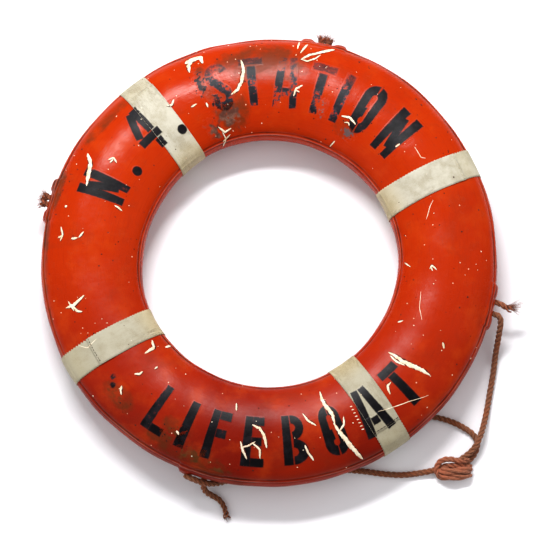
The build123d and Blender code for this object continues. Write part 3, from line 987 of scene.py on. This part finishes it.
def decal(name, finish, middle, across, half_wide, half_tall, amount, step=1.0, up=1):
    """Thin paint that follows the ring. amount gives how much there is at x and y, in mm from its middle."""
    xs = np.arange(-half_wide, half_wide + step, step)
    ys = np.arange(-half_tall, half_tall + step, step)
    x, y = np.meshgrid(xs, ys, indexing="ij")
    strength = np.clip(amount(x, y), 0, 1)
    place_across = (across + up * y) * MM
    radius = mid_radius + section(np.array([across * MM]))[0][0]
    angle = spread_angle(middle) - up * x * MM / radius
    on_band = band_top(angle, place_across)
    full = np.clip(strength * 5, 0, 1)      # its rim is tucked under the canvas
    points = surface(angle, place_across, on_band + full * (decal_lift + rim_tuck) - rim_tuck)
    rows, columns = x.shape
    flat = strength.ravel()
    faces, pairs = [], []
    for face in grid_faces(rows, columns):
        if max(flat[i] for i in face) > 0.02:
            faces.append(face if up > 0 else face[::-1])
    lay = np.stack([angle * mid_radius, place_across], -1).reshape(-1, 2)
    used = sorted({i for face in faces for i in face})
    fresh = {old: new for new, old in enumerate(used)}
    for face in faces:
        pairs += [lay[i] for i in face]
    faces = [tuple(fresh[i] for i in face) for face in faces]
    piece(name, points.reshape(-1, 3)[used], faces, finish, {"lay": pairs},
          {"ink": flat[used], "on_band": (on_band.ravel()[used] > 0).astype(float)})


def letter(name, sign, finish, middle, across, up, width, height, fade=None):
    """One stencilled sign with soft sprayed edges. up is 1 where its head points outwards, -1 to the hole."""
    def amount(x, y):
        x_in = x * letter_wide / width + letter_wide / 2
        y_in = y * letter_tall / height + letter_tall / 2
        far = np.min([strokes_by_size[len(s)](x_in, y_in, *s) for s in letters[sign]], 0) - spray_reach
        strength = np.clip(0.5 - far / (2 * spray_soft), 0, 1)
        return strength if fade is None else strength * fade(y)

    step = 0.5 if any(abs(middle - band) < 12 for band in band_angles.values()) else 1.0
    decal(name, finish, middle, across, width / 2 + 6, height / 2 + 6, amount, step, up)


# Each sign with the angle and across of its middle, its width and its height, in mm
top_words = [
    ("N", 157.5, 2, 38, 76), (".", 147, -33, 36, 74), ("4", 134.5, 1, 36, 78), (".", 124, -36, 36, 74),
    ("S", 106.0, 3, 36, 78), ("T", 95.5, 3, 36, 80), ("A", 84.5, 1, 38, 82), ("T", 73.5, 0, 36, 82),
    ("I", 65.5, -2, 36, 82), ("O", 56.5, 0, 36, 82), ("N", 44.5, -2, 38, 82),
]
bottom_words = [
    ("L", 236.5, 18, 35, 78), ("I", 245.0, 19, 36, 78), ("F", 254.5, 19, 35, 80),
    ("E", 265.5, 19, 35, 80), ("B", 277.5, 17, 36, 80), ("O", 289.5, 16, 36, 80),
    ("A", 302.0, 14, 39, 80), ("T", 314.5, 12, 36, 78),
]


def words():
    """Generic words in large stencilled letters, more worn along the top where light and weather fall."""
    fresh = ink("stencil_black", (16, 14, 17), (32, 29, 34), 0.45)
    worn = ink("stencil_black_worn", (28, 26, 32), (66, 62, 72), 1.0)

    def worn_top(y):
        return 1 - 0.45 * np.clip((y - 4) / 26, 0, 1)

    for number, (sign, angle, across, width, height) in enumerate(top_words):
        tired = 60 < angle < 110
        letter(f"top_letter_{number + 1}", sign, worn if tired else fresh, angle, across, 1, width, height,
               worn_top if tired else None)
    for number, (sign, angle, across, width, height) in enumerate(bottom_words):
        letter(f"bottom_letter_{number + 1}", sign, fresh, angle, across, -1, width, height)


# Stains: kind and number, angle, across, half its width and height in mm, and how ragged, fine and strong
stains = [
    ("worn_patch", 105.5, -46, 25, 24, 0.6), ("worn_patch_edge", 113, -62, 14, 19, 0.7),
    ("torn_mark", 111.5, 16, 9, 28, 1.1, 6), ("torn_mark_foot", 108.5, -18, 10, 12, 1.2, 5),
    ("ink_spot_1", 219.0, 31, 7, 7.5, 0.25, 5), ("ink_spot_2", 220.6, 40, 7.5, 7, 0.25, 5),
    ("smudge_1", 58, -50, 14, 11, 0.8, 5), ("smudge_2", 70.5, -30, 9, 16, 0.9, 5),
    ("smear_1", 249.5, 64, 30, 19, 0.8, 12, 0.62), ("smear_2", 243.0, 42, 22, 16, 0.9, 9, 0.55),
    ("smear_3", 257.0, 78, 24, 12, 0.8, 9, 0.60), ("smear_4", 223.0, 52, 22, 14, 0.9, 9, 0.45),
    ("smear_5", 161.0, 82, 30, 12, 0.9, 9, 0.50),
]


def blotch(name, finish, middle, across, half_wide, half_tall, seed, ragged=0.9, grain=9.0, strength=1.0):
    """A stain or a torn place with a ragged outline."""
    def amount(x, y):
        far = np.hypot(x / half_wide, y / half_tall)
        rough = np.array([noise.fractal((a / grain + seed * 7, b / grain, seed), 1.0, 2.0, 4)
                          for a, b in zip(x.ravel(), y.ravel())]).reshape(x.shape)
        return strength * np.clip(1.1 - far + ragged * rough, 0, 1)

    decal(name, finish, middle, across, half_wide * 1.25, half_tall * 1.25, amount)


def blotches():
    """Torn and dirty places: the worn patch beside the first word, dark marks, a grey smudge and smears."""
    finishes = {"worn": ink("worn_to_the_cloth", (84, 50, 40), (128, 92, 78), 0.7),
                "torn": ink("dark_mark", (24, 18, 20), (60, 42, 44), 0.7),
                "smudge": ink("grey_smudge", (92, 74, 74), (124, 92, 88), 1.0),
                "smear": ink("brown_smear", (78, 48, 20), (104, 62, 30), 0.3)}
    finishes["ink"] = finishes["torn"]
    for number, (name, *spot) in enumerate(stains):
        blotch(name, finishes[name.split("_")[0]], *spot[:4], number + 1, *spot[4:])


ribbon_step = 1.1       # mm between the rows of a ribbon


def uneven(pick, count):
    """Random factors round 1 that change gradually."""
    most = 0.42
    raw = np.array([pick.uniform(-most, most) for _ in range(count)])
    return 1 + np.convolve(raw, (0.3, 0.4, 0.3), "same")


def ribbon_into(points, faces, route, wide, pick, lift=0.25):
    """A ragged strip along a route of (angle, across) places on the ring, pointed at both ends."""
    spots = np.array(route, float)
    spots[:, 0] = spread_angle(spots[:, 0]) * mid_radius / MM
    gaps = run_along(spots)
    count = max(int(gaps[-1] / ribbon_step), 5)
    even = np.linspace(0, gaps[-1], count + 1)
    line = np.stack([np.interp(even, gaps, spots[:, axis]) for axis in (0, 1)], -1)
    for _ in range(3):
        line[1:-1] = (line[:-2] + 2 * line[1:-1] + line[2:]) / 4
    way = np.gradient(line, axis=0)
    way /= np.linalg.norm(way, axis=1)[:, None] + 1e-9
    aside = np.stack([-way[:, 1], way[:, 0]], -1)
    share = np.linspace(0, 1, count + 1)
    body = wide / 2 * np.clip(np.sin(math.pi * share) ** 0.45, 0.12, 1)
    left, right = body * uneven(pick, count + 1), body * uneven(pick, count + 1)
    base = len(points)
    for offset, height in ((left + 0.2, -0.1), (left, lift), (0 * left, lift + 0.04), (-right, lift),
                           (-right - 0.2, -0.1)):
        spot = line + aside * offset[:, None]
        angle, across = spot[:, 0] * MM / mid_radius, spot[:, 1] * MM
        points.extend(surface(angle, across, band_top(angle, across) + height * MM).tolist())
    for column in range(4):
        for row in range(count):
            a, b = base + column * (count + 1) + row, base + (column + 1) * (count + 1) + row
            faces.append((a, a + 1, b + 1, b))


# Flaked places: width in mm, then the places along them as (angle, across in mm)
chips = [
    (6.5, [(150, 54), (152, 40), (156, 32), (159, 28)]), (2.6, [(149, 15), (147.5, 9), (148.5, 0)]),
    (2.2, [(148, 8), (149.5, 10)]), (3.0, [(162, -26), (162.5, -35), (163, -40)]),
    (3.6, [(165.8, 53), (166.4, 51)]), (3.2, [(172, 53), (174, 48), (176, 51)]),
    (2.4, [(175, 56), (174.6, 48)]), (3.2, [(175.4, 32), (175, 21)]), (2.8, [(175, 19), (173, 12)]),
    (4.2, [(195, 51), (195, 36), (193, 15)]), (3.6, [(194.6, 40), (197, 33), (197.6, 25)]),
    (2.4, [(193.4, 44), (196.6, 38)]), (3.6, [(222.6, 2), (223.8, -4), (223.8, -11)]),
    (3.0, [(226, -28), (226, -35)]), (3.0, [(222.6, 30), (223.4, 37), (224.4, 41)]),
    (2.0, [(223.4, 34), (222.6, 37)]),
    (6.0, [(113, 44), (112.5, 58), (110.5, 70), (108.6, 68), (108.6, 52)]),
    (10.0, [(113, 66), (111, 69), (108.6, 66)]), (3.2, [(124, 9), (122.4, 5), (121, 12)]),
    (2.4, [(117.4, -13), (115.2, -12)]), (2.8, [(112, -16), (112, -24)]),
    (5.2, [(98, 41), (97.6, 24), (98.6, 4), (100.6, -10), (103, -15)]),
    (3.2, [(81.4, -22), (81, -10), (79, -2)]), (2.2, [(81, -12), (79.6, -14)]),
    (4.6, [(81, 40), (79, 52), (76.5, 62), (74, 74), (70.5, 96)]),
    (2.4, [(81, 41), (79, 39), (77, 48), (76, 58)]), (2.8, [(81.4, 54), (80, 78)]),
    (2.0, [(82.4, 63), (82.2, 84)]), (3.4, [(111, -59), (109, -72), (106, -68)]),
    (3.2, [(110, -70), (109.4, -84), (111.6, -100)]), (2.4, [(107, -78), (111, -88)]),
    (3.6, [(63, -30), (60, -26), (57, -31)]), (2.2, [(61, -37), (59.6, -34), (58.8, -38)]),
    (3.0, [(62, -85), (61, -71)]), (3.2, [(41, -18), (40.8, -9)]),
    (2.6, [(354.6, -31), (356, -28), (354.4, -19)]), (2.4, [(355.6, -30), (354, -26)]),
    (2.2, [(357.6, -79), (355.6, -66)]), (2.8, [(332.4, 25), (331, 32)]),
    (3.4, [(312.8, -3), (311, -2), (310, 11)]),
    (6.0, [(290, -56), (289.6, -40), (290, -26), (291, -8), (290.6, 8)]),
    (6.0, [(290.4, 6), (291, 22), (292, 38), (293, 58), (294.4, 82)]),
    (2.8, [(294, 2), (293.2, 14), (291, 22)]), (3.2, [(281.6, -24), (282.8, -10), (285, 1)]),
    (3.2, [(280.4, 28), (280.8, 40), (282, 56)]),
    (4.4, [(264.6, -9), (267, -4), (268.6, 8), (269.4, 28)]),
    (3.2, [(261.6, 20), (262.6, 34), (264, 48)]), (2.8, [(265, 20), (267.4, 30), (267.6, 46)]),
    (2.4, [(262, 30), (264, 26), (266, 18)]), (2.6, [(258, -43), (258.6, -29)]),
    (3.2, [(243, 35), (244, 40)]), (2.4, [(332, -60), (333.4, -52)]),
    (5.4, [(216.6, -60), (219.6, -54), (219.4, -34)]), (5.0, [(222, -72), (222.6, -86)]),
]
chips += [(1.4, [(297.2, place), (298.0, place + 1)]) for place in range(-8, 36, 6)]
scratches = [
    (1.0, [(13, -30), (15, -24), (17, -18), (18.6, -10)]),
    (1.1, [(304, 22), (308, 30), (313, 41), (318, 57)]), (0.8, [(206, 52), (208, 40), (207, 20)]),
    (0.8, [(37, 6), (33, 4), (32, 10)]), (0.7, [(346, -40), (340, -34), (336, -22)]),
]
gouge = [
    (6.5, [(320, -42), (320.4, -30), (320.4, -14), (321, 2), (322, 20), (322.4, 37)]),
    (3.0, [(319.4, -36), (319, -20), (319.8, -6)]),
]


def flakes():
    """All the places where the paint has come off, and the thin scratches; beside the larger flakes lies a
    dark, wider ribbon, set a little to one side: the dark edge of the broken paint and a painted shadow.
    """
    pick = random.Random(5)
    for name, parts in (("paint_chips", chips), ("paint_scratches", scratches), ("paint_gouge", gouge)):
        points, faces = [], []
        for wide, route in parts:
            ribbon_into(points, faces, route, wide, pick)
        piece(name, points, faces, bare)
    # A dark ribbon under each larger chip, wider and shifted a little: the dark edge of the broken paint, and
    # a painted shadow beside the flake.
    edge = plain("chip_edge_painted_shadow", (96, 28, 12), (58, 18, 10), 240)
    points, faces = [], []
    for wide, route in chips + gouge:
        if wide > 2.1:
            beside = [(angle + 0.1, across - 0.3) for angle, across in route]
            ribbon_into(points, faces, beside, wide + 1.5, pick, 0.16)
    piece("chip_edge_painted_shadows", points, faces, edge)


# Clusters of dots: angle, across, how far they spread along and across, and how many
pit_clusters = [(163, 74, 4, 12, 16), (238, 60, 7, 14, 14), (110, 30, 4, 22, 12), (152, 40, 5, 18, 6),
                (60, 60, 12, 10, 8)]
fleck_clusters = [(80, 50, 12, 22, 14), (330, 30, 20, 30, 10)]


def dots(name, finish, seed, count, small, large, clusters):
    """Small round flecks of paint or pits, scattered over the face, and more of them in clusters."""
    pick = random.Random(seed)
    points, faces = [], []
    spots = [(pick.uniform(0, 360), pick.uniform(-88, 96), pick.uniform(small, large)) for _ in range(count)]
    for angle, across, wide, tall, more in clusters:
        spots += [(angle + pick.gauss(0, wide), across + pick.gauss(0, tall), pick.uniform(small, large))
                  for _ in range(more)]
    for angle, across, radius in spots:
        middle, base, sides = spread_angle(angle), len(points), 9
        turn = np.linspace(0, 2 * math.pi, sides, endpoint=False)
        rim = radius * np.array([pick.uniform(0.65, 1.2) for _ in range(sides)]) * MM
        for size, height in ((1.15, -0.3), (1.0, 0.24), (0.5, 0.36)):
            x = size * rim * np.cos(turn) / mid_radius
            y = across * MM + size * rim * np.sin(turn)
            points.extend(surface(middle + x, y, band_top(middle + x, y) + height * MM).tolist())
        faces.extend(grid_faces(3, sides, base, round_columns=True))
        faces.append(tuple(base + 2 * sides + i for i in range(sides)))
    piece(name, points, faces, finish)


def plain(name, light, dark, scale, rough=0.7, detail=5, low=0.35, high=0.65, fine=0.65, depth=0.6 * MM):
    """A mottled finish for small or hidden pieces."""
    made, tree, shader = material(name, rough)
    patchy = noise_at(add(tree, "TexCoord").outputs["Object"], scale, detail, fine)
    feed(shader, Base_Color=blend(ramp(patchy, low, high), srgb(*dark), srgb(*light)))
    bump(shader, patchy, depth)
    return made


def core():
    """Cork and peg finishes for the pieces inside."""
    cork = plain("cut_cork", (196, 148, 100), (132, 88, 52), 160, 0.9)
    wood = plain("peg_wood", (206, 166, 118), (166, 122, 80), 60, 0.7)
    for name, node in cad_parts.items():
        if name.startswith("cork") or name == "core_pegs":
            finish = wood if name == "core_pegs" else cork
            node.data.materials.clear()
            node.data.materials.append(finish)


camera()
studio()
ropes()
knot(rope_material("knot_fibre", (192, 128, 98), (98, 54, 36), (164, 92, 64)))
covers()
band_finish = painted("band_cloth", old_cloth, 0.3, 0.4 * MM)
for band_name in band_angles:
    band(band_name, band_finish)
stitches("lap_stitches_upper", plain("waxed_thread", (190, 182, 160), (150, 138, 112), 400),
         ("upper_left", "right"), 4.4, 6.5)
dark_thread = plain("tarred_thread", (70, 58, 46), (30, 24, 20), 400)
stitches("lap_stitches_left", dark_thread, ("lower_left",), 3.0, 5.0)
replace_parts(stitches("lap_stitches_right", dark_thread, ("lower_right",), 5.0, 6.2), "band_stitches")
becket_finish = painted("painted_patch")
for becket_name in becket_angles:
    becket(becket_name, becket_finish)
bare = plain("bare_ground", (214, 186, 152), (232, 222, 200), 120, 0.6, 4, 0.35, 0.70, 0.6, 0.3 * MM)
words()
flakes()
blotches()
dots("dark_pits", plain("dark_pit", (62, 28, 20), (26, 12, 10), 300), 19, 110, 0.5, 1.3, pit_clusters)
dots("pale_flecks", bare, 23, 90, 0.45, 1.1, fleck_clusters)
core()
